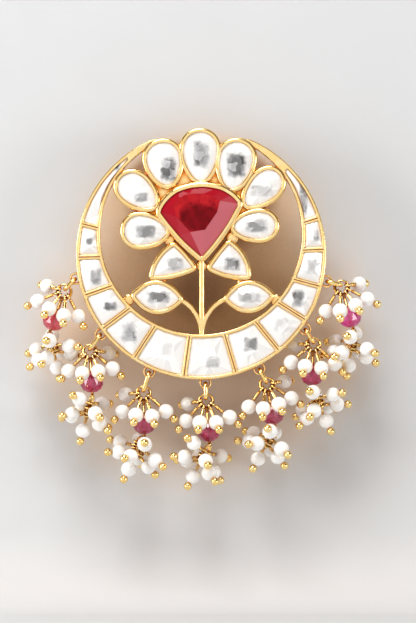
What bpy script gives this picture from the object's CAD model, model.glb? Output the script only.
import math
import random
from collections import namedtuple

import bmesh
import bpy
from mathutils import Matrix, Vector, noise


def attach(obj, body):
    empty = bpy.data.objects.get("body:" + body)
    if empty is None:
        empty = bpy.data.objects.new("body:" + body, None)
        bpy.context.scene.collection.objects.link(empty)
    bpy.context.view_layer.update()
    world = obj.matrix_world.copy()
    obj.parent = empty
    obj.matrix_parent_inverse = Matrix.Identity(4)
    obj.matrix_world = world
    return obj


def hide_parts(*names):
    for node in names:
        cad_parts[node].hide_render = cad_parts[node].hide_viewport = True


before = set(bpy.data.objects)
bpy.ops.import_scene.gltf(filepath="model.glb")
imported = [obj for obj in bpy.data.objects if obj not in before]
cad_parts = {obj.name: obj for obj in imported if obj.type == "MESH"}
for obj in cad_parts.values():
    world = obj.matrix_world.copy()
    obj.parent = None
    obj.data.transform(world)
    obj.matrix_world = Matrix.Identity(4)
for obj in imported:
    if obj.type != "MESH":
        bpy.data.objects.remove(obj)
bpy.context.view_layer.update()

# Gold frame: the crescent, the flower's collets, the stem, the eyelets and the ear post
# are one soldered piece of yellow gold. Each stone sits in a pocket whose rim is burnished
# over its edge, so each rim is a soft round lip with a crease where it meets the next one.

# Sizes are in mm and angles in degrees, and MM is a mm in metres.
MM = 0.001
CRESCENT_UP = -6.3
RING_R = 18.0
OPENING_R = 14.5
OPENING_UP = 3.0
RING_TOP = 2.5
WALL_ANGLES = [165.5, 181.3, 199.3, 217, 237.2, 262, 286.5, 309, 328, 345, 362.4, 377.3]
POCKET_FLOOR = 1.1
STONE_RISE = 0.25
LIP_OVERHANG = 0.04
LIP_ROUND = 0.11
CUT_PAST = 1.5
CREASE_HALF = 0.11
CREASE_DEEP = 0.16
CREASE_RISE = 0.1
PETAL_RIM = 0.6
RUBY_RIM = 0.75
COLLET_ROLL = 0.62
COLLET_UNEVEN = 0.012
SOLDER_ROLL = 0.45
BACK, TABLE = 1, -1
CRESCENT_STONES = [f"crescent_stone_{i:02d}" for i in range(1, 14)]
PETAL_STONES = [f"petal_stone_{i}" for i in range(1, 8)]
LEAF_STONES = [f"leaf_stone_{i}" for i in range(1, 5)]
RIM_WIDTHS = {
    **{node: PETAL_RIM for node in PETAL_STONES + LEAF_STONES},
    "ruby_centre": RUBY_RIM,
}


def flat_loop(node, facing, nearly=0.99):
    """The edge of a stone's flat back or table, in mm, against the clock."""
    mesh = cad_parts[node].data
    ways = set()
    for face in mesh.polygons:
        if face.normal.y * facing > nearly:
            ends = [mesh.vertices[v].co / MM for v in face.vertices]
            keys = [(round(p.x, 4), round(p.z, 4)) for p in ends]
            ways |= set(zip(keys, keys[1:] + keys[:1]))
    follow = {a: b for a, b in ways if (b, a) not in ways}
    loop = [min(follow)]
    while follow[loop[-1]] != loop[0]:
        loop.append(follow[loop[-1]])
    loop = [Vector(p) for p in loop]
    turn = sum(a.cross(b) for a, b in zip(loop, loop[1:] + loop[:1]))
    return loop if turn > 0 else [loop[0]] + loop[:0:-1]


def levels(node):
    """Heights above the back of a stone's flat back, girdle and table, in mm."""
    heights = {round(-v.co.y / MM, 3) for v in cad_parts[node].data.vertices}
    return sorted(heights)


def rim_top(node):
    """Height of the rim round a stone, in mm."""
    return levels(node)[2] - STONE_RISE


def hand_wobble(p, reach=0.03, scale=0.55, layers=(3.7, 57.3)):
    """The small unevenness that hand work leaves in a drawn line."""
    aside, upward = (noise.noise(Vector((p.x, p.y, layer)) * scale) for layer in layers)
    return p + Vector((aside, upward)) * reach


def flowing_line(points, step=0.12, rounding=5, corner=40):
    """A smooth closed line through the points, and the place of each of them on it."""
    n = len(points)
    sharp = []
    for i in range(n):
        before, after = points[i] - points[i - 1], points[(i + 1) % n] - points[i]
        sharp.append(abs(before.angle_signed(after)) > math.radians(corner))
    line, marks = [], []
    for i in range(n):
        j = (i + 1) % n
        a, b = points[i], points[j]
        before = a - (b - a) if sharp[i] else points[i - 1]
        after = b + (b - a) if sharp[j] else points[(i + 2) % n]
        pieces = max(3, math.ceil((b - a).length / step))
        marks.append(len(line))
        for k in range(pieces):
            t = k / pieces
            line.append(0.5 * (
                2 * a + (b - before) * t
                + (2 * before - 5 * a + 4 * b - after) * t * t
                + (3 * a - before - 3 * b + after) * t ** 3
            ))
    for _ in range(rounding):
        m = len(line)
        line = [(line[k - 1] + 2 * line[k] + line[(k + 1) % m]) / 4 for k in range(m)]
    return [hand_wobble(p) for p in line], marks


def grown(line, by):
    """The closed line pushed outwards by a distance."""
    n = len(line)
    out = []
    for i, p in enumerate(line):
        along = (line[(i + 1) % n] - line[i - 1]).normalized()
        out.append(p + Vector((along.y, -along.x)) * by)
    return out


def stood_up(line, height):
    """A line of the face, at a height above the flat back, in mm."""
    return [Vector((p.x, -height, p.y)) for p in line]


def skin(rings, closed=False):
    """A solid skinned over rings of points, capped at both ends or closed into a hoop."""
    bm = bmesh.new()
    made = [[bm.verts.new(p) for p in ring] for ring in rings]
    n = len(rings[0])
    for low, high in zip(made, made[1:] + made[:1] if closed else made[1:]):
        for i in range(n):
            j = (i + 1) % n
            bm.faces.new((low[i], low[j], high[j], high[i]))
    if not closed:
        bm.faces.new(made[0])
        bm.faces.new(made[-1])
    bmesh.ops.recalc_face_normals(bm, faces=bm.faces)
    return bm


def as_object(bm, name):
    """A mesh of mm made into an object of metres."""
    mesh = bpy.data.meshes.new(name)
    bmesh.ops.scale(bm, vec=(MM, MM, MM), verts=bm.verts)
    bm.to_mesh(mesh)
    bm.free()
    made = bpy.data.objects.new(name, mesh)
    bpy.context.scene.collection.objects.link(made)
    return made


def quarter(steps=6):
    """Sines and cosines along a quarter turn."""
    angles = [math.pi / 2 * k / steps for k in range(steps + 1)]
    return [(math.sin(a), math.cos(a)) for a in angles]


def puck(name, edge, top, roll_in, roll_down, back_bevel=0.08):
    """A flat gold solid with the given edge, whose upper edge rolls over softly."""
    rings = [stood_up(grown(edge, -back_bevel), 0), stood_up(edge, back_bevel)]
    for s, c in quarter():
        rings.append(stood_up(grown(edge, -roll_in * (1 - c)), top - roll_down * (1 - s)))
    return as_object(skin(rings), name)


def pocket(name, edge, top):
    """What is cut away for a stone. It flares at the top, which leaves the lip round."""
    rings = [stood_up(grown(edge, -LIP_OVERHANG), POCKET_FLOOR)]
    for s, c in quarter(4):
        flare = LIP_ROUND * (1 - c) - LIP_OVERHANG
        rings.append(stood_up(grown(edge, flare), top - LIP_ROUND * (1 - s)))
    rings.append(stood_up(grown(edge, LIP_ROUND - LIP_OVERHANG), top + CUT_PAST))
    return as_object(skin(rings), name)


def circle_line(across, up, radius, points=240):
    """A circle on the face, in mm."""
    turns = [2 * math.pi * k / points for k in range(points)]
    return [Vector((across + radius * math.cos(a), up + radius * math.sin(a))) for a in turns]


def ribbon_line(start, bend, end, width, points=24, end_points=8):
    """The edge of a strip of even width along a bend, with round ends."""
    mids = [start * (1 - t) ** 2 + bend * 2 * t * (1 - t) + end * t * t
            for t in (k / points for k in range(points + 1))]
    ways = [(mids[min(k + 1, points)] - mids[max(k - 1, 0)]).normalized() for k in range(points + 1)]
    right = [p + Vector((w.y, -w.x)) * width / 2 for p, w in zip(mids, ways)]
    left = [p - Vector((w.y, -w.x)) * width / 2 for p, w in zip(mids, ways)]
    ends = []
    turns = [math.pi * k / end_points for k in range(1, end_points)]
    for p, w in ((mids[-1], ways[-1]), (mids[0], -ways[0])):
        ends.append([p + (Vector((w.y, -w.x)) * math.cos(a) + w * math.sin(a)) * width / 2 for a in turns])
    return right + ends[0] + left[::-1] + ends[1]


def through_cut(name, edge, flare, back=0.12, front=0.2):
    """What is cut right through the crescent inside an edge, flared at both faces."""
    wide = grown(edge, flare)
    rings = [stood_up(wide, -CUT_PAST), stood_up(wide, 0), stood_up(edge, back)]
    for s, c in quarter():
        rings.append(stood_up(grown(edge, flare * (1 - c)), RING_TOP - front * (1 - s)))
    rings.append(stood_up(wide, RING_TOP + CUT_PAST))
    return as_object(skin(rings), name)


def wall_crease(name, angle, short_inside=0.35, short_outside=0.38):
    """A V groove along the middle of a wall, where two lips of foil meet."""
    way = Vector((math.cos(math.radians(angle)), math.sin(math.radians(angle))))
    to_opening = OPENING_UP * way.y + math.sqrt(OPENING_R ** 2 - (OPENING_UP * way.x) ** 2)
    side = Vector((-way.y, way.x))
    rings = []
    for reach in (to_opening + short_inside, RING_R - short_outside):
        mid = way * reach + Vector((0, CRESCENT_UP))
        edges = (mid - side * CREASE_HALF, mid + side * CREASE_HALF)
        rings.append([Vector((mid.x, CREASE_DEEP - RING_TOP, mid.y))]
                     + [Vector((p.x, -RING_TOP - CREASE_RISE, p.y)) for p in edges])
    return as_object(skin(rings), name)


def turned(profile, place=Matrix(), points=48):
    """A solid turned about Z from (radius, height) pairs, put in place."""
    turns = [2 * math.pi * k / points for k in range(points)]
    rings = [[place @ Vector((r * math.cos(a), r * math.sin(a), z)) for a in turns]
             for r, z in profile]
    return skin(rings)


def hoop(radius, wire, place=Matrix(), around=36, sides=10):
    """A round wire ring that stands in the YZ plane, put in place."""
    rings = []
    for k in range(around):
        a = 2 * math.pi * k / around
        out = Vector((0, math.cos(a), math.sin(a)))
        ring = []
        for s in range(sides):
            b = 2 * math.pi * s / sides
            ring.append(place @ (out * (radius + wire * math.cos(b)) + Vector((wire * math.sin(b), 0, 0))))
        rings.append(ring)
    return skin(rings, closed=True)


def tilt(axis, degrees):
    """A turn about an axis."""
    return Matrix.Rotation(math.radians(degrees), 4, axis)


def shift(x, y, z):
    """A move in mm."""
    return Matrix.Translation((x, y, z))


FACE_ON = tilt("Z", 90)

# The seven drops from left to right: the angle of the eyelet on the crescent, how far the
# link, the long wire and the lower ring lean aside and tip forward, the link's length, the
# lower ring's turn, and which way round the upper headpins hang.
Drop = namedtuple("Drop", "eyelet link_lean link_length shaft_lean shaft_tip"
                          " lower_lean lower_tip lower_turn upper_side")
DROPS = [
    Drop(190, -45, 2.0, -20, -8, 12, -5, 200, -1),
    Drop(218, -36, 2.5, 3, -3, -15, 0, 355, 1),
    Drop(246, -17, 2.7, 1, -8, -26, 0, 210, -1),
    Drop(272, 1, 2.1, 5, -6, -28, 0, 165, -1),
    Drop(297, 28, 2.0, 11, -9, -28, 0, 195, 1),
    Drop(325, 32, 2.1, -2, -9, 24, 5, 20, -1),
    Drop(348, 76, 2.0, 16, -6, -8, -5, 15, 1),
]
EYELET_R = 0.75
EYELET_WIRE = 0.17
EYELET_OUT = 0.45


def at_eyelet(drop):
    """Where a drop hangs on the crescent's edge, with -Z along its link."""
    a = math.radians(drop.eyelet)
    foot = shift(RING_R * math.cos(a), -RING_TOP / 2, RING_R * math.sin(a) + CRESCENT_UP)
    return foot @ tilt("Y", -drop.link_lean)


# Points of the face are given as across and up.
HORN_GAP = [(-7.6, 10.02), (-6.1, 10.4), (-5.6, 9.2), (4.9, 9.2), (5.5, 10.5), (7.2, 10.2),
            (9, 13.7), (-9, 13.7)]
STEM_W = 0.75
STEM_TOP = 2.4
SOLDER_TOP = 2.3
STEM = [Vector((0.1, -18.3)), Vector((0.1, -12.5)), Vector((0.1, -6.9))]
BRANCHES = [
    [Vector((0.1, -17.3)), Vector((-0.4, -13.9)), Vector((-3.4, -12.6))],
    [Vector((0.1, -17.3)), Vector((0.7, -13.7)), Vector((4.0, -12.5))],
]
# Across, up and radius of each spot of solder between the branches and collets.
SOLDER_JOINTS = [
    (-10.4, -12.8, 0.8), (10.9, -12.9, 0.9), (-5.6, -10.3, 0.7), (5.9, -10.3, 0.7),
    (-4.5, -4.2, 0.8), (4.5, -3.9, 0.9), (0.1, -7.9, 0.8),
]
PLATE = [(-6.8, -2.9), (-8.1, 1.9), (-5.0, 5.5), (0.0, 6.4), (4.7, 5.2), (7.9, 2.2), (6.5, -2.2)]
PLATE_TOP = 1.8
POST_R = 0.45
POST_LENGTH = 10.0
POST_FILLET = 0.5
POINT_R = 0.001
FOOT_R = 1.6
FOOT_THICK = 0.4
FOOT_BEVEL = 0.12
FOOT_SUNK = 0.5

stone_edges = {}
for node in CRESCENT_STONES + PETAL_STONES + LEAF_STONES + ["ruby_centre"]:
    stone_edges[node] = flowing_line(flat_loop(node, BACK))

disc = circle_line(0, CRESCENT_UP, RING_R, points=300)
cast = puck("gold_frame_cast", disc, RING_TOP, roll_in=0.2, roll_down=0.26, back_bevel=0.12)
opening = circle_line(0, CRESCENT_UP + OPENING_UP, OPENING_R)
horn_gap = flowing_line([Vector(p) for p in HORN_GAP])[0]
steps = [("DIFFERENCE", through_cut("opening", opening, flare=0.16)),
         ("DIFFERENCE", through_cut("horn_gap", horn_gap, flare=0.1))]
for part in [STEM] + BRANCHES:
    edge = [hand_wobble(p) for p in ribbon_line(*part, STEM_W)]
    steps.append(("UNION", puck("stem", edge, STEM_TOP, roll_in=0.24, roll_down=0.3)))
for across, up, radius in SOLDER_JOINTS:
    edge = circle_line(across, up, radius, points=48)
    solder = puck("solder", edge, SOLDER_TOP, roll_in=SOLDER_ROLL * radius, roll_down=0.3)
    steps.append(("UNION", solder))
plate_edge = flowing_line([Vector(p) for p in reversed(PLATE)], corner=200)[0]
steps.append(("UNION", puck("plate", plate_edge, PLATE_TOP, roll_in=0.1, roll_down=0.1)))
for k, (node, rim) in enumerate(RIM_WIDTHS.items()):
    top = rim_top(node) + COLLET_UNEVEN * math.sin(2.3 * k)
    edge = grown(stone_edges[node][0], rim)
    steps.append(("UNION", puck("collet", edge, top, roll_in=COLLET_ROLL * rim, roll_down=0.42)))
for drop in DROPS:
    ring = hoop(EYELET_R, EYELET_WIRE, at_eyelet(drop) @ shift(0, 0, -EYELET_OUT) @ FACE_ON)
    steps.append(("UNION", as_object(ring, "eyelet")))
for node, (line, marks) in stone_edges.items():
    steps.append(("DIFFERENCE", pocket("pocket", line, rim_top(node))))
for angle in WALL_ANGLES:
    steps.append(("DIFFERENCE", wall_crease("crease", angle)))
foot = [(FOOT_R, -FOOT_SUNK), (FOOT_R, FOOT_THICK - FOOT_BEVEL), (FOOT_R - FOOT_BEVEL, FOOT_THICK)]
fillet = [(POST_R + POST_FILLET * (1 - s), FOOT_THICK + POST_FILLET * (1 - c)) for s, c in quarter()]
tip = [(POST_R * c + POINT_R, POST_LENGTH - POST_R * (1 - s)) for s, c in quarter()]
steps.append(("UNION", as_object(turned(foot + fillet + tip, tilt("X", -90)), "post")))

for operation, tool in steps:
    join = cast.modifiers.new(operation.lower(), "BOOLEAN")
    join.operation = operation
    join.solver = "MANIFOLD"
    join.object = tool
graph = bpy.context.evaluated_depsgraph_get()
fused = bpy.data.meshes.new_from_object(cast.evaluated_get(graph))
cast.modifiers.clear()
cast.data = fused
for operation, tool in steps:
    bpy.data.objects.remove(tool)


def add(tree, kind, values=None, **settings):
    """A shader node with its settings, and with its inputs linked or set."""
    made = tree.nodes.new(kind)
    for key, value in settings.items():
        setattr(made, key, value)
    for key, value in (values or {}).items():
        if isinstance(value, bpy.types.NodeSocket):
            tree.links.new(value, made.inputs[key])
        else:
            made.inputs[key].default_value = value
    return made


def reckon(tree, operation, *values, **settings):
    """The result of a sum on numbers."""
    sum_node = add(tree, "ShaderNodeMath", dict(enumerate(values)), operation=operation, **settings)
    return sum_node.outputs[0]


def blend_colours(tree, share, low, high):
    """The colour that lies share of the way from low to high."""
    mix = add(tree, "ShaderNodeMix", {0: share, 6: low, 7: high}, data_type="RGBA")
    return mix.outputs[2]


def remap(tree, value, low, high, to_low=0.0, to_high=1.0):
    """A value stretched from one range to another, and held inside it."""
    values = {"Value": value, "From Min": low, "From Max": high, "To Min": to_low, "To Max": to_high}
    return add(tree, "ShaderNodeMapRange", values, clamp=True).outputs["Result"]


def place_in_mm(tree):
    """Where a point of the surface lies, in mm."""
    where = add(tree, "ShaderNodeTexCoord").outputs["Object"]
    scaled = add(tree, "ShaderNodeVectorMath", {0: where, 1: (1000, 1000, 1000)}, operation="MULTIPLY")
    return scaled.outputs["Vector"]


def how_far(tree, place):
    """How far a point of the surface lies from a place, both in mm."""
    values = {0: place_in_mm(tree), 1: place}
    return add(tree, "ShaderNodeVectorMath", values, operation="DISTANCE").outputs["Value"]


def clouds(tree, scale, detail, distortion=0.0):
    """Soft random patches, as a value from 0 to 1."""
    values = {"Vector": place_in_mm(tree), "Scale": scale, "Detail": detail, "Distortion": distortion}
    return add(tree, "ShaderNodeTexNoise", values).outputs["Fac"]


def openness_within(tree, reach):
    """How open the surface lies, from 0 in a deep crease to 1, out to a reach in metres."""
    return add(tree, "ShaderNodeAmbientOcclusion", {"Distance": reach}, samples=8).outputs["AO"]


def new_group(name, inputs, outputs):
    """A shader node group with named sockets, and its two end nodes."""
    group = bpy.data.node_groups.new(name, "ShaderNodeTree")
    for label, kind, value in inputs:
        socket = group.interface.new_socket(label, in_out="INPUT", socket_type=kind)
        socket.default_value = value
    for label, kind in outputs:
        group.interface.new_socket(label, in_out="OUTPUT", socket_type=kind)
    return group, group.nodes.new("NodeGroupInput"), group.nodes.new("NodeGroupOutput")


def new_material(name, fixed=None):
    """A material with a Principled shader, and its fixed values set."""
    material = bpy.data.materials.new(name)
    material.use_nodes = True
    tree = material.node_tree
    tree.nodes.clear()
    shader = tree.nodes.new("ShaderNodeBsdfPrincipled")
    end = tree.nodes.new("ShaderNodeOutputMaterial")
    tree.links.new(shader.outputs["BSDF"], end.inputs["Surface"])
    for label, value in (fixed or {}).items():
        shader.inputs[label].default_value = value
    return material, tree, shader


COLOUR, NUMBER = "NodeSocketColor", "NodeSocketFloat"
gold_finish, ends_in, ends_out = new_group(
    "gold_finish",
    [("Body", COLOUR, (1, 0.7, 0.26, 1)), ("Crease", COLOUR, (0.7, 0.3, 0.05, 1)),
     ("Worn", COLOUR, (1, 0.82, 0.48, 1)), ("Crease Reach", NUMBER, 0.0006),
     ("Polish", NUMBER, 0.2)],
    [("Colour", COLOUR), ("Roughness", NUMBER), ("Height", NUMBER)],
)
broad = clouds(gold_finish, scale=0.9, detail=3.0)
fine = clouds(gold_finish, scale=7.0, detail=4.0)
openness = remap(gold_finish, openness_within(gold_finish, ends_in.outputs["Crease Reach"]), 0.3, 0.95)
worn_share = remap(gold_finish, broad, 0.45, 0.7, 0.0, 0.55)
lit = blend_colours(gold_finish, worn_share, ends_in.outputs["Body"], ends_in.outputs["Worn"])
toned = blend_colours(gold_finish, openness, ends_in.outputs["Crease"], lit)
gold_finish.links.new(toned, ends_out.inputs["Colour"])
grain = remap(gold_finish, fine, 0.3, 0.7, -0.05, 0.08)
rough = reckon(gold_finish, "ADD", ends_in.outputs["Polish"], grain)
gold_finish.links.new(rough, ends_out.inputs["Roughness"])
gold_finish.links.new(fine, ends_out.inputs["Height"])


def gold_material(name, body, crease, worn, reach, polish, bump):
    """Polished yellow gold, deeper in its creases and paler where it is rubbed."""
    material, tree, shader = new_material(name, {"Metallic": 1})
    finish = add(tree, "ShaderNodeGroup", node_tree=gold_finish)
    for label, value in zip(("Body", "Crease", "Worn"), (body, crease, worn)):
        finish.inputs[label].default_value = (*value, 1)
    finish.inputs["Crease Reach"].default_value = reach
    finish.inputs["Polish"].default_value = polish
    tree.links.new(finish.outputs["Colour"], shader.inputs["Base Color"])
    tree.links.new(finish.outputs["Roughness"], shader.inputs["Roughness"])
    dents = add(tree, "ShaderNodeBump",
                {"Height": finish.outputs["Height"], "Strength": bump, "Distance": 0.04 * MM})
    tree.links.new(dents.outputs["Normal"], shader.inputs["Normal"])
    return material


def settle(piece, material, slot, *nodes):
    """Dresses a piece and says which part of the model it stands for."""
    piece.data.materials.clear()
    piece.data.materials.append(material)
    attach(piece, "root")
    if nodes:
        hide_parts(*nodes)


CAST_SHARP = 36
cast_gold = gold_material("cast_gold", body=(1.0, 0.72, 0.30), crease=(0.66, 0.22, 0.02),
                          worn=(1.0, 0.86, 0.54), reach=0.6 * MM, polish=0.17, bump=0.3)
cast.data.shade_smooth()
cast.data.set_sharp_from_angle(angle=math.radians(CAST_SHARP))
even = cast.modifiers.new("even_shading", "WEIGHTED_NORMAL")
even.keep_sharp = True
settle(cast, cast_gold, "gold", "gold_frame")

# White stones: flat-cut and backed with bright foil, in the crescent, the petals and the
# leaves. Each has a hand-cut table in a ring of slightly uneven facets, and near its middle
# the foil below shows as a small patchwork of grey.

STONE_PLAY = 0.02
TABLE_WOBBLE = 0.07
SLENDER_WOBBLE = 0.015
ROUND_SIDES = 16
TABLE_STRAIGHT = 0.995


def own_map(tree, name):
    """The two numbers that one of a stone's own maps holds, as X and Y."""
    return add(tree, "ShaderNodeSeparateXYZ", {0: add(tree, "ShaderNodeUVMap", uv_map=name).outputs["UV"]})


DEEP_GREY, PALE_GREY = (0.075, 0.075, 0.08, 1), (0.50, 0.50, 0.52, 1)
DULL_WHITE, CLEAR_WHITE = (0.80, 0.80, 0.79, 1), (0.96, 0.955, 0.945, 1)
RIM_CREAM = (0.90, 0.76, 0.50, 1)

foil_white, tree, shader = new_material(
    "foil_backed_white", {"IOR": 1.9, "Coat Weight": 0.5, "Coat Roughness": 0.02})
patch_place = own_map(tree, "patch")
tones = own_map(tree, "tone")
aside = reckon(tree, "ABSOLUTE", patch_place.outputs["X"])
upward = reckon(tree, "ABSOLUTE", patch_place.outputs["Y"])
boxy = reckon(tree, "SMOOTH_MAX", aside, upward, 0.9)
ragged = clouds(tree, scale=1.4, detail=1.0)
reach = reckon(tree, "MULTIPLY_ADD", ragged, 0.6, boxy)
patch_share = remap(tree, reach, 1.62, 1.22)
cells = add(tree, "ShaderNodeTexVoronoi",
            {"Vector": place_in_mm(tree), "Scale": 0.85, "Randomness": 0.9}, distance="CHEBYCHEV")
cell_tone = add(tree, "ShaderNodeSeparateColor", {"Color": cells.outputs["Color"]}).outputs["Red"]
core = remap(tree, reach, 1.25, 0.75, 0.0, 0.45)
cell_depth = reckon(tree, "SUBTRACT", cell_tone, core, use_clamp=True)
grey_colour = blend_colours(tree, remap(tree, cell_depth, 0.0, 0.8), DEEP_GREY, PALE_GREY)
grey_share = reckon(tree, "MULTIPLY", patch_share, tones.outputs["Y"])
white = blend_colours(tree, tones.outputs["X"], DULL_WHITE, CLEAR_WHITE)
off_rim = remap(tree, openness_within(tree, 0.6 * MM), 0.45, 0.9)
creamed = blend_colours(tree, off_rim, RIM_CREAM, white)
stone_colour = blend_colours(tree, grey_share, creamed, grey_colour)
tree.links.new(stone_colour, shader.inputs["Base Color"])
tree.links.new(remap(tree, ragged, 0.3, 0.7, 0.03, 0.09), shader.inputs["Roughness"])

# For each stone, its grey patch: how far aside and up from the table's middle, half its
# width and height in mm, and its depth of tone.
GREY_PATCHES = {
    "crescent_stone_01": (1.6, 4.2, 0.7, 1.5, 1.0), "crescent_stone_02": (0.1, 0, 0.42, 0.42, 0.9),
    "crescent_stone_03": (0.4, -0.4, 0.7, 0.95, 0.75), "crescent_stone_04": (0.5, -0.2, 0.85, 0.55, 0.95),
    "crescent_stone_05": (-0.1, -0.2, 0.9, 1.2, 0.85), "crescent_stone_06": (0.3, 0.1, 0.75, 0.85, 0.35),
    "crescent_stone_07": (0.6, -0.7, 0.85, 0.7, 0.55), "crescent_stone_08": (0.2, 0.2, 0.85, 0.85, 0.9),
    "crescent_stone_09": (0.2, 0, 0.85, 0.85, 0.4), "crescent_stone_10": (-0.2, -0.2, 0.75, 1.1, 0.95),
    "crescent_stone_11": (0.1, 0, 0.6, 0.85, 0.65), "crescent_stone_12": (0.4, -0.1, 0.35, 0.7, 0.7),
    "crescent_stone_13": (0.3, -0.8, 0.5, 2.3, 0.85), "petal_stone_1": (0, -0.1, 1.15, 0.75, 0.9),
    "petal_stone_2": (0.5, -0.8, 0.8, 0.6, 0.7), "petal_stone_3": (0.6, -0.8, 0.95, 1.4, 1.0),
    "petal_stone_4": (0.1, 0.3, 0.95, 1.6, 1.0), "petal_stone_5": (0.1, 0, 1.15, 1.5, 1.0),
    "petal_stone_6": (-0.2, -0.3, 1.4, 0.7, 0.5), "petal_stone_7": (0.2, 0, 1.3, 0.8, 0.85),
    "leaf_stone_1": (0.4, -0.2, 1.0, 0.8, 0.65), "leaf_stone_2": (0.3, -0.2, 1.0, 0.8, 0.9),
    "leaf_stone_3": (0.2, 0, 1.35, 0.7, 0.95), "leaf_stone_4": (0, -0.1, 1.4, 0.6, 0.75),
    "ruby_centre": (0, 0, 1, 1, 0),
}


def matched(loop, other):
    """The loop, started where it lies closest to the other one, point by point."""
    n = len(loop)
    starts = [sum((loop[(k + s) % n] - other[k]).length for k in range(n)) for s in range(n)]
    s = starts.index(min(starts))
    return [loop[(k + s) % n] for k in range(n)]


def cut_stone(node, tone_of, dice, table_wobble=TABLE_WOBBLE, height_wobble=0.03):
    """A flat-cut stone inside its rim: back, wall, a ring of facets and a table.

    Its map "patch" is laid over the grey patch, and its map "tone" holds a facet's own
    tone and the depth of the grey.
    """
    base, girdle, table_top = levels(node)
    line, marks = stone_edges[node]
    edge = grown(line, -LIP_OVERHANG - STONE_PLAY)
    table = matched(flat_loop(node, TABLE), flat_loop(node, BACK))
    stride = 2 if len(table) >= ROUND_SIDES else 1
    table = table[::stride]
    marks = marks[::stride]
    n, m = len(table), len(edge)
    bm = bmesh.new()
    low = [bm.verts.new(p) for p in stood_up(edge, base)]
    high = [bm.verts.new(p) for p in stood_up(edge, girdle)]
    corners = []
    for k in range(n):
        mid = (table[k] + table[(k + 1) % n]) / 2
        mid += Vector((dice.uniform(-1, 1), dice.uniform(-1, 1))) * table_wobble
        corners.append(bm.verts.new((mid.x, -table_top + dice.uniform(0, height_wobble), mid.y)))
    bm.faces.new(low)
    for i in range(m):
        j = (i + 1) % m
        bm.faces.new((low[i], low[j], high[j], high[i]))
    for k in range(n):
        start, stop = marks[k], marks[(k + 1) % n]
        between = range(start, stop + 1 if stop > start else stop + m + 1)
        bm.faces.new([high[i % m] for i in between] + [corners[k]])
        bm.faces.new((high[stop], corners[(k + 1) % n], corners[k]))
    bm.faces.new(corners[::-1])
    bmesh.ops.recalc_face_normals(bm, faces=bm.faces)
    middle = sum((Vector((v.co.x, v.co.z)) for v in corners), Vector((0, 0))) / n
    aside, upward, half_width, half_height, depth = GREY_PATCHES[node]
    patch, tone = bm.loops.layers.uv.new("patch"), bm.loops.layers.uv.new("tone")
    for face in bm.faces:
        face_tone = tone_of(face, dice)
        for corner in face.loops:
            at = Vector((corner.vert.co.x, corner.vert.co.z)) - middle
            corner[patch].uv = ((at.x - aside) / half_width, (at.y - upward) / half_height)
            corner[tone].uv = (face_tone, depth)
    return as_object(bm, node + "_cut")


def uneven_tone(face, dice):
    """A random tone for a facet, and the lightest for the table."""
    return dice.uniform(0.0, 1.0) if face.normal.y > -TABLE_STRAIGHT else 1.0


SLENDER_STONES = ("crescent_stone_01", "crescent_stone_13")
dice = random.Random(11)
for node in CRESCENT_STONES + PETAL_STONES + LEAF_STONES:
    slender = node in SLENDER_STONES
    stone = cut_stone(node, uneven_tone, dice, SLENDER_WOBBLE if slender else TABLE_WOBBLE)
    settle(stone, foil_white, "white_stone", node)

# Ruby: the fan-shaped stone in the middle is a flat-cut ruby on foil. It is deep red under
# its big rounded table and pinker in the thin facets round it.

HEART_ACROSS, HEART_UP = 0.1, -1.0
HEART_HALF_WIDTH, HEART_HALF_HEIGHT = 3.1, 1.9
CLOUDED_RED, CLEAR_RED = (0.34, 0.006, 0.012, 1), (0.48, 0.014, 0.019, 1)
CLOUDED_HEART, CLEAR_HEART = (0.11, 0.001, 0.003, 1), (0.21, 0.002, 0.007, 1)
FACET_RED, FACET_PINK = (0.36, 0.008, 0.018, 1), (0.50, 0.125, 0.15, 1)
PINK_START, PINK_GAIN, PINK_LEAST = 0.33, 0.9, 0.1
PINK_RIGHT, PINK_UP = 0.75, -0.66

ruby_red, tree, shader = new_material("ruby_on_foil", {"IOR": 1.77, "Specular IOR Level": 0.04})
tones = own_map(tree, "tone")
silk = clouds(tree, scale=0.8, detail=4.0, distortion=0.6)
silky = remap(tree, silk, 0.35, 0.68)
from_heart = add(tree, "ShaderNodeVectorMath",
                 {0: place_in_mm(tree), 1: (-HEART_ACROSS, 0, -HEART_UP)}, operation="ADD")
heart_place = add(tree, "ShaderNodeVectorMath",
                  {0: from_heart.outputs[0], 1: (1 / HEART_HALF_WIDTH, 0, 1 / HEART_HALF_HEIGHT)},
                  operation="MULTIPLY")
heart_reach = add(tree, "ShaderNodeVectorMath", {0: heart_place.outputs[0]}, operation="LENGTH")
ragged_reach = reckon(tree, "MULTIPLY_ADD", silk, 0.5, heart_reach.outputs["Value"])
heart_share = remap(tree, ragged_reach, 1.55, 1.1)
bright = blend_colours(tree, silky, CLOUDED_RED, CLEAR_RED)
heart = blend_colours(tree, silky, CLOUDED_HEART, CLEAR_HEART)
table_colour = blend_colours(tree, heart_share, bright, heart)
pinkness = remap(tree, tones.outputs["X"], PINK_LEAST, 1.0)
facet_colour = blend_colours(tree, pinkness, FACET_RED, FACET_PINK)
is_facet = remap(tree, tones.outputs["X"], 0.0, 0.08)
ruby_colour = blend_colours(tree, is_facet, table_colour, facet_colour)
tree.links.new(ruby_colour, shader.inputs["Base Color"])
tree.links.new(remap(tree, silk, 0.3, 0.7, 0.02, 0.07), shader.inputs["Roughness"])


def ruby_tone(face, dice):
    """Nothing for the table, and more the more a facet looks down and to the right."""
    if face.normal.y < -TABLE_STRAIGHT:
        return 0.0
    way = Vector((face.normal.x, face.normal.z)).normalized()
    pink = PINK_START + PINK_GAIN * (PINK_RIGHT * way.x + PINK_UP * way.y)
    return min(max(pink, PINK_LEAST), 1.0)


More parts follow.
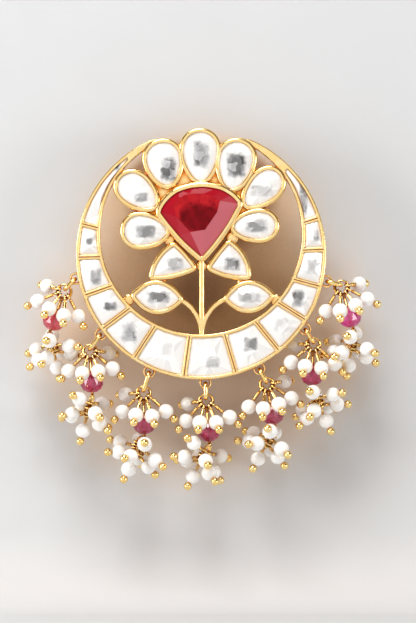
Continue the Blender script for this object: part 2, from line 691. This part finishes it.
ruby = cut_stone("ruby_centre", ruby_tone, dice, table_wobble=0.1, height_wobble=0.04)
settle(ruby, ruby_red, "ruby", "ruby_centre")

# Drop links: each drop hangs on its eyelet by one long oval link of thick round gold wire,
# soldered shut. It stands edge on, so that it looks like a bar from the front.

LINK_HALF = 0.62
LINK_WIRE = 0.33
RING_WIRE = 0.16
PLAY = 0.1
LINK_STEPS = 12
WIRE_SHARP = 50
LINK_TOP = EYELET_OUT + EYELET_R - EYELET_WIRE - LINK_WIRE - PLAY
HANG = LINK_WIRE + RING_WIRE + PLAY


def wire(path, radius, sides=8, closed=False, place=Matrix()):
    """A round wire bent along a path of points."""
    n = len(path)
    rings = []
    aside = None
    for k, p in enumerate(path):
        after = path[(k + 1) % n] if closed or k < n - 1 else p
        before = path[k - 1] if closed or k else p
        along = (after - before).normalized()
        if aside is None:
            aside = along.orthogonal().normalized()
        aside = (aside - along * aside.dot(along)).normalized()
        across = along.cross(aside)
        rings.append([
            place @ (p + (aside * math.cos(a) + across * math.sin(a)) * radius)
            for a in (2 * math.pi * s / sides for s in range(sides))
        ])
    return skin(rings, closed)


def joined(parts, name):
    """Several solids as one object."""
    whole = bmesh.new()
    for part in parts:
        passing = bpy.data.meshes.new("passing")
        part.to_mesh(passing)
        part.free()
        whole.from_mesh(passing)
        bpy.data.meshes.remove(passing)
    made = as_object(whole, name)
    made.data.shade_smooth()
    made.data.set_sharp_from_angle(angle=math.radians(WIRE_SHARP))
    return made


wire_gold = gold_material("wire_gold", body=(1.0, 0.72, 0.26), crease=(0.46, 0.13, 0.008),
                          worn=(1.0, 0.86, 0.48), reach=1.0 * MM, polish=0.16, bump=0.15)
for number, drop in enumerate(DROPS, 1):
    straight = drop.link_length - 2 * LINK_HALF
    path = []
    for start, down in ((0, 0), (math.pi, straight)):
        for k in range(LINK_STEPS + 1):
            a = start + math.pi * k / LINK_STEPS
            path.append(Vector((0, LINK_HALF * math.cos(a), LINK_HALF * math.sin(a) - down)))
    place = at_eyelet(drop) @ shift(0, 0, -LINK_TOP - LINK_HALF)
    bent = wire(path, LINK_WIRE, sides=16, closed=True, place=place)
    link = joined([bent], f"drop_link_{number}_wire")
    settle(link, wire_gold, "gold_wire", f"drop_link_{number}")

# Drop wires: a wire with a ring at each end goes through the ruby bead, and small headpins
# hang on the two rings, which are wound with fine wire. Each pin is turned into a loop,
# wrapped down its own neck, and melted at its lower end to a ball that holds a pearl.

UPPER_RING_R = 1.0
LOWER_RING_R = 1.4
RING_TO_WRAP = 0.3
RING_TO_BEAD = 4.3
SHAFT_TAIL = 0.5
WRAP_R = 0.27
WRAP_WIRE = 0.08
WRAP_GAP = 0.08
WRAP_PITCH = 1.9 * WRAP_WIRE
FINE_WIRE = 0.05
FINE_PITCH = 2.1 * FINE_WIRE
BEAD_R = 1.7
BEAD_HALF = 1.55
BEAD_DOWN = UPPER_RING_R + RING_TO_BEAD
SHAFT_DOWN = BEAD_DOWN + BEAD_HALF + SHAFT_TAIL
PEARL_R = 1.1
BALL_R = 0.6
BALL_OUT = 1.6
BALL_TIP = 0.012
PIN_WIRE = 0.15
LOOP_R = 0.45
LOOP_TO_NECK = 0.12
NECK_R = 0.28
NECK_TWIST = 1.9
PIN_DROOP = 0.25

# Each headpin's angle round its ring, its lean aside, and its reach to its pearl's middle.
Pin = namedtuple("Pin", "around lean reach")
UPPER_PINS = [Pin(27, -56, 3.4), Pin(-27, -53, 3.5), Pin(62, -8, 3.1), Pin(-63, -14, 3.2),
              Pin(96, 52, 2.8)]
LOWER_PINS = [Pin(0, 0, 2.4), Pin(25, 64, 2.4), Pin(-25, -64, 2.4), Pin(50, -52, 2.4), Pin(-50, 52, 2.4),
              Pin(75, 36, 2.4), Pin(-75, -36, 2.4), Pin(100, -34, 2.4), Pin(-100, 34, 2.4)]


def at_upper_ring(drop):
    """The top of the ring above a ruby bead, with -Z down the wire through the bead."""
    link_end = at_eyelet(drop) @ shift(0, 0, -LINK_TOP - drop.link_length)
    hung = link_end @ tilt("Y", drop.link_lean - drop.shaft_lean) @ shift(0, 0, HANG)
    return hung @ tilt("X", -drop.shaft_tip)


def at_lower_ring(drop):
    """The middle of the ring below a ruby bead."""
    end = at_upper_ring(drop) @ shift(0, 0, -SHAFT_DOWN) @ tilt("X", drop.shaft_tip)
    hung = end @ tilt("Y", drop.shaft_lean - drop.lower_lean) @ tilt("X", -drop.lower_tip)
    return hung @ tilt("Z", drop.lower_turn) @ shift(0, 0, -LOWER_RING_R)


def on_ring(radius, pin, side=1, droop=0):
    """A headpin's place on a ring, with -Z along the pin."""
    hung = tilt("X", -pin.around * side) @ shift(0, 0, -radius) @ tilt("X", pin.around * side * droop)
    return hung @ tilt("Y", -pin.lean)


def pins_of(drop):
    """The place of every headpin of a drop, and its reach to its pearl's middle."""
    upper = at_upper_ring(drop) @ shift(0, 0, -UPPER_RING_R) @ FACE_ON
    lower = at_lower_ring(drop)
    return ([(upper @ on_ring(UPPER_RING_R, pin, drop.upper_side, PIN_DROOP), pin.reach)
             for pin in UPPER_PINS]
            + [(lower @ on_ring(LOWER_RING_R, pin), pin.reach) for pin in LOWER_PINS])


def straight_wire(radius, start, stop, place, sides=8):
    """A wire down -Z from start to stop."""
    return wire([Vector((0, 0, -start)), Vector((0, 0, -stop))], radius, sides, place=place)


def wrap(radius, start, stop, place, twist=0.0, steps=10):
    """A wire wound closely round another, down -Z from start to stop."""
    turns = (stop - start) / WRAP_PITCH
    middle = radius - WRAP_WIRE
    path = []
    for k in range(int(turns * steps) + 1):
        a = 2 * math.pi * k / steps + twist
        path.append(Vector((middle * math.cos(a), middle * math.sin(a), -start - WRAP_PITCH * k / steps)))
    return wire(path, WRAP_WIRE, sides=6, place=place)


def wound_ring(radius, first, last, place, steps=9):
    """A fine wire wound closely round a ring's wire, between two angles of the ring."""
    bend = math.radians(last - first)
    turns = int(bend * radius / FINE_PITCH)
    off = RING_WIRE + FINE_WIRE
    path = []
    for k in range(turns * steps + 1):
        a = math.radians(first) + bend * k / (turns * steps)
        b = 2 * math.pi * k / steps
        out = Vector((0, math.cos(a), math.sin(a)))
        path.append(out * (radius + off * math.cos(b)) + Vector((off * math.sin(b), 0, 0)))
    return wire(path, FINE_WIRE, sides=5, place=place)


def ball_end(place, drawn_out=0.06, start=0.08, steps=9):
    """The melted end of a headpin, drawn out a little where it leaves the wire."""
    profile = [(PIN_WIRE, BALL_R + drawn_out)]
    for k in range(1, steps + 1):
        a = math.pi * (start + (1 - start) * k / steps)
        profile.append((max(BALL_R * math.sin(a), BALL_TIP), BALL_R * math.cos(a)))
    return turned(profile, place, points=16)


for number, drop in enumerate(DROPS, 1):
    upper, lower = at_upper_ring(drop), at_lower_ring(drop)
    upper_middle = upper @ shift(0, 0, -UPPER_RING_R) @ FACE_ON
    parts = [
        hoop(UPPER_RING_R, RING_WIRE, upper_middle, sides=8),
        hoop(LOWER_RING_R, RING_WIRE, lower, around=40, sides=8),
        wound_ring(UPPER_RING_R, first=140, last=400, place=upper_middle),
        wound_ring(LOWER_RING_R, first=105, last=435, place=lower),
        straight_wire(RING_WIRE, 2 * UPPER_RING_R, SHAFT_DOWN, upper),
        wrap(WRAP_R, 2 * UPPER_RING_R + RING_TO_WRAP, BEAD_DOWN - BEAD_HALF - WRAP_GAP, upper),
        wrap(WRAP_R, BEAD_DOWN + BEAD_HALF + WRAP_GAP, SHAFT_DOWN, upper),
    ]
    for k, (pin, reach) in enumerate(pins_of(drop)):
        neck_end = reach - PEARL_R - WRAP_GAP
        parts.append(hoop(LOOP_R, PIN_WIRE, pin @ FACE_ON, around=20, sides=8))
        parts.append(wrap(NECK_R, LOOP_R + LOOP_TO_NECK, neck_end, pin, NECK_TWIST * k, steps=9))
        parts.append(straight_wire(PIN_WIRE, LOOP_R, reach + BALL_OUT, pin))
        parts.append(ball_end(pin @ shift(0, 0, -reach - BALL_OUT)))
    wires = joined(parts, f"drop_wires_{number}_bent")
    settle(wires, wire_gold, "gold_wire", f"drop_wires_{number}")

# Ruby beads: a drilled ruby bead sits in the middle of each drop, cut all over in rows of
# small triangular facets. The first drop's is coral red and the last one's hot pink.


def bead_material(name, deep, bright):
    """Clear pinkish red ruby with paler veils in it."""
    material, tree, shader = new_material(name, {"IOR": 1.76, "Transmission Weight": 0.65})
    veils = clouds(tree, scale=1.1, detail=3.0)
    colour = blend_colours(tree, remap(tree, veils, 0.35, 0.65), (*deep, 1), (*bright, 1))
    tree.links.new(colour, shader.inputs["Base Color"])
    tree.links.new(remap(tree, veils, 0.3, 0.7, 0.01, 0.05), shader.inputs["Roughness"])
    return material


bead_red = bead_material("ruby_bead", (0.48, 0.010, 0.09), (0.78, 0.05, 0.21))
bead_coral = bead_material("coral_ruby_bead", (0.74, 0.04, 0.08), (0.95, 0.16, 0.22))
bead_pink = bead_material("pink_ruby_bead", (0.85, 0.035, 0.32), (1.0, 0.15, 0.54))
BEAD_TONES = [bead_coral, bead_red, bead_red, bead_red, bead_red, bead_red, bead_pink]
BEAD_TURN = 37
BEAD_HOLE = 0.26
BEAD_SIDES = 12
BEAD_ROWS = [(0.44, 0.97), (0.76, 0.74), (0.965, 0.34), (0.965, -0.34), (0.76, -0.74), (0.44, -0.97)]


def faceted_bead(place):
    """A drilled bead whose rows of corners are each turned by half a side."""
    bm = bmesh.new()
    rows = []
    for k, (r, z) in enumerate(BEAD_ROWS):
        row = []
        for s in range(BEAD_SIDES):
            a = 2 * math.pi * (s + k % 2 / 2) / BEAD_SIDES
            p = Vector((BEAD_R * r * math.cos(a), BEAD_R * r * math.sin(a), BEAD_HALF * z))
            row.append(bm.verts.new(place @ p))
        rows.append(row)
    turns = [2 * math.pi * s / BEAD_SIDES for s in range(BEAD_SIDES)]
    hole = []
    for z in (BEAD_HALF * BEAD_ROWS[0][1], BEAD_HALF * BEAD_ROWS[-1][1]):
        hole.append([bm.verts.new(place @ Vector((BEAD_HOLE * math.cos(a), BEAD_HOLE * math.sin(a), z)))
                     for a in turns])
    for k, (upper, lower) in enumerate(zip(rows, rows[1:])):
        for s in range(BEAD_SIDES):
            t = (s + 1) % BEAD_SIDES
            if k % 2:
                bm.faces.new((upper[s], lower[s], lower[t]))
                bm.faces.new((upper[s], lower[t], upper[t]))
            else:
                bm.faces.new((upper[s], lower[s], upper[t]))
                bm.faces.new((upper[t], lower[s], lower[t]))
    for ring, row in ((hole[0], rows[0]), (hole[1], rows[-1]), (hole[0], hole[1])):
        for s in range(BEAD_SIDES):
            t = (s + 1) % BEAD_SIDES
            bm.faces.new((ring[s], ring[t], row[t], row[s]))
    bmesh.ops.recalc_face_normals(bm, faces=bm.faces)
    return bm


for number, drop in enumerate(DROPS, 1):
    place = at_upper_ring(drop) @ shift(0, 0, -BEAD_DOWN) @ tilt("Z", BEAD_TURN * number)
    bead = as_object(faceted_bead(place), f"ruby_bead_{number}_cut")
    settle(bead, BEAD_TONES[number - 1], "ruby_bead", f"ruby_bead_{number}")

# Pearls: white seed pearls, not quite round, drilled through and threaded on the headpins,
# five above each ruby bead and nine below it. Where they crowd, the gold shines on them.

PEARL_HOLE = 0.2
DRILL_MOUTH = 0.06
HOLE_END = 0.8
PEARL_SIZES = (0.96, 1.015)
PEARL_UNEVEN = 0.035
UNEVEN_SCALE = 0.9
UNEVEN_DRIFT = 50
PEARL_ROWS = 12
FIRST_SEED = 100
DULL_PEARL, BRIGHT_PEARL = (0.97, 0.95, 0.91, 1), (0.985, 0.98, 0.975, 1)
GOLD_SHINE = (0.95, 0.76, 0.42, 1)

pearl_white, tree, shader = new_material(
    "seed_pearl", {"IOR": 1.55, "Coat Weight": 0.5, "Coat Roughness": 0.12})
tone = remap(tree, clouds(tree, scale=0.45, detail=2.0), 0.38, 0.62)
skin_grain = clouds(tree, scale=5.0, detail=3.0)
pearl_colour = blend_colours(tree, tone, DULL_PEARL, BRIGHT_PEARL)
apart = remap(tree, openness_within(tree, 1.2 * MM), 0.3, 0.85)
gilded = blend_colours(tree, apart, GOLD_SHINE, pearl_colour)
tree.links.new(gilded, shader.inputs["Base Color"])
tree.links.new(remap(tree, skin_grain, 0.3, 0.7, 0.16, 0.30), shader.inputs["Roughness"])
growth = add(tree, "ShaderNodeBump", {"Height": skin_grain, "Strength": 0.12, "Distance": 0.03 * MM})
tree.links.new(growth.outputs["Normal"], shader.inputs["Normal"])


def pearl(place, dice):
    """A drilled pearl, a little oval and uneven, with its hole along Z."""
    size = dice.uniform(*PEARL_SIZES)
    drift = Vector((dice.uniform(-UNEVEN_DRIFT, UNEVEN_DRIFT), 0, 0))
    first = math.asin(PEARL_HOLE / PEARL_R) + DRILL_MOUTH
    profile = [(PEARL_HOLE, PEARL_R * HOLE_END)]
    for k in range(PEARL_ROWS + 1):
        a = first + (math.pi - 2 * first) * k / PEARL_ROWS
        profile.append((PEARL_R * math.sin(a), PEARL_R * math.cos(a)))
    profile.append((PEARL_HOLE, -PEARL_R * HOLE_END))
    bm = turned(profile, points=18)
    for v in bm.verts:
        v.co *= size * (1 + PEARL_UNEVEN * noise.noise(v.co * UNEVEN_SCALE + drift))
    bmesh.ops.transform(bm, matrix=place, verts=bm.verts)
    return bm


for number, drop in enumerate(DROPS, 1):
    dice = random.Random(FIRST_SEED + number)
    strung = [pearl(pin @ shift(0, 0, -reach), dice) for pin, reach in pins_of(drop)]
    bunch = joined(strung, f"pearls_{number}_strung")
    settle(bunch, pearl_white, "pearl", f"pearls_{number}")

# Studio: a pale sweep of paper stands behind and under the earring, lit by large soft
# lamps. It has a warm brown shade inside the crescent, behind the flower and below its edge.

FLOOR_UP = -58.0
WALL_BACK = 8.0
BEND_R = 12.0
BEND_STEPS = 16
HALF_WIDTH = 300.0
FLOOR_FRONT = -500.0
WALL_TOP = 300.0
FLOWER_UP = 4.0
LEAVES_UP = -11.3
FIBRE_GREY, FIBRE_PALE = (0.58, 0.59, 0.605, 1), (0.62, 0.63, 0.645, 1)
LOW_PAPER = (0.63, 0.632, 0.637, 1)
WARM_INSIDE, WARM_OUTSIDE = (0.68, 0.52, 0.37, 1), (0.68, 0.49, 0.33, 1)
BROWN_INSIDE, BROWN_OUTSIDE = (0.53, 0.32, 0.17, 1), (0.58, 0.36, 0.205, 1)
DEEP_SHADE = (0.13, 0.052, 0.02, 1)
FLOWER_SHADE = (0.22, 0.085, 0.034, 1)
LEAF_SHADE = (0.10, 0.028, 0.008, 1)

paper, tree, shader = new_material("sweep_paper", {"Roughness": 0.9})
fibres = clouds(tree, scale=0.05, detail=4.0)
upper_paper = blend_colours(tree, fibres, FIBRE_GREY, FIBRE_PALE)
height = add(tree, "ShaderNodeSeparateXYZ", {0: place_in_mm(tree)}).outputs["Z"]
paper_colour = blend_colours(tree, remap(tree, height, -15, -38), upper_paper, LOW_PAPER)
outside = remap(tree, how_far(tree, (0, WALL_BACK, CRESCENT_UP)), 15.5, 18.5)
lit_cover = reckon(tree, "MULTIPLY_ADD", outside, 0.18, openness_within(tree, 12 * MM))
warm = blend_colours(tree, outside, WARM_INSIDE, WARM_OUTSIDE)
brown = blend_colours(tree, outside, BROWN_INSIDE, BROWN_OUTSIDE)
shade = blend_colours(tree, remap(tree, lit_cover, 0.31, 0.58), DEEP_SHADE, brown)
shade = blend_colours(tree, remap(tree, lit_cover, 0.5, 0.75), shade, warm)
shaded = blend_colours(tree, remap(tree, lit_cover, 0.78, 1.0), shade, paper_colour)
behind_flower = remap(tree, how_far(tree, (0, WALL_BACK, FLOWER_UP)), 12.0, 9.5, 0.0, 0.7)
flower_share = reckon(tree, "MULTIPLY", behind_flower, remap(tree, outside, 0.6, 0.1))
shaded = blend_colours(tree, flower_share, shaded, FLOWER_SHADE)
behind_leaves = remap(tree, how_far(tree, (0, WALL_BACK, LEAVES_UP)), 5.5, 2.0, 0.0, 0.55)
shaded = blend_colours(tree, behind_leaves, shaded, LEAF_SHADE)
tree.links.new(shaded, shader.inputs["Base Color"])
from_behind = add(tree, "ShaderNodeNewGeometry").outputs["Backfacing"]
clear = add(tree, "ShaderNodeBsdfTransparent")
one_way = add(tree, "ShaderNodeMixShader", {0: from_behind, 1: shader.outputs[0], 2: clear.outputs[0]})
ends = [n for n in tree.nodes if n.type == "OUTPUT_MATERIAL"]
tree.links.new(one_way.outputs[0], ends[0].inputs["Surface"])

bm = bmesh.new()
profile = [(FLOOR_FRONT, FLOOR_UP)]
for s, c in quarter(BEND_STEPS):
    profile.append((WALL_BACK - BEND_R * (1 - s), FLOOR_UP + BEND_R * (1 - c)))
profile.append((WALL_BACK, WALL_TOP))
rows = [[bm.verts.new((x, y, z)) for x in (-HALF_WIDTH, HALF_WIDTH)] for y, z in profile]
for near, far in zip(rows, rows[1:]):
    bm.faces.new((near[0], near[1], far[1], far[0]))
sweep = as_object(bm, "paper_sweep")
sweep.data.shade_smooth()
sweep.data.materials.append(paper)

COOL_WHITE = (0.965, 0.985, 1.0)
PLAIN_WHITE = (1, 1, 1)
ROOM_GLOW = (1.0, 0.66, 0.36, 1)
AIM = (1, 0, -14)


def soft_lamp(name, place, width, power, colour=COOL_WHITE):
    """A square lamp of the given width in mm, aimed at the earring."""
    data = bpy.data.lights.new(name, "AREA")
    data.size = width * MM
    data.energy = power
    data.color = colour
    lamp = bpy.data.objects.new(name, data)
    lamp.location = Vector(place) * MM
    lamp.rotation_euler = (Vector(AIM) - Vector(place)).to_track_quat("-Z", "Y").to_euler()
    bpy.context.scene.collection.objects.link(lamp)
    return lamp


soft_lamp("above", (-60, -230, 340), width=200, power=1.6)
soft_lamp("left", (-360, -190, 30), width=200, power=0.95)
soft_lamp("right", (330, -220, -60), width=200, power=0.95)
reflector = soft_lamp("reflector", (20, -680, 60), width=520, power=0.8, colour=PLAIN_WHITE)
reflector.visible_diffuse = False
bpy.context.scene.view_settings.view_transform = "Standard"
world = bpy.data.worlds.new("studio_air")
bpy.context.scene.world = world
world.use_nodes = True
air = world.node_tree.nodes["Background"]
air.inputs["Color"].default_value = ROOM_GLOW
air.inputs["Strength"].default_value = 0.18

VIEW_DISTANCE = 620.0
VIEW_WIDTH = 60.0
VIEW_AT = (1.0, -14.5)
lens = bpy.data.cameras.new("straight_on")
lens.sensor_fit = "HORIZONTAL"
lens.sensor_width = 36
lens.lens = lens.sensor_width * VIEW_DISTANCE / VIEW_WIDTH
lens.clip_start = 0.05
lens.clip_end = 5
camera = bpy.data.objects.new("straight_on", lens)
camera.location = Vector((VIEW_AT[0], -VIEW_DISTANCE, VIEW_AT[1])) * MM
camera.rotation_euler = (math.radians(90), 0, 0)
bpy.context.scene.collection.objects.link(camera)
bpy.context.scene.camera = camera
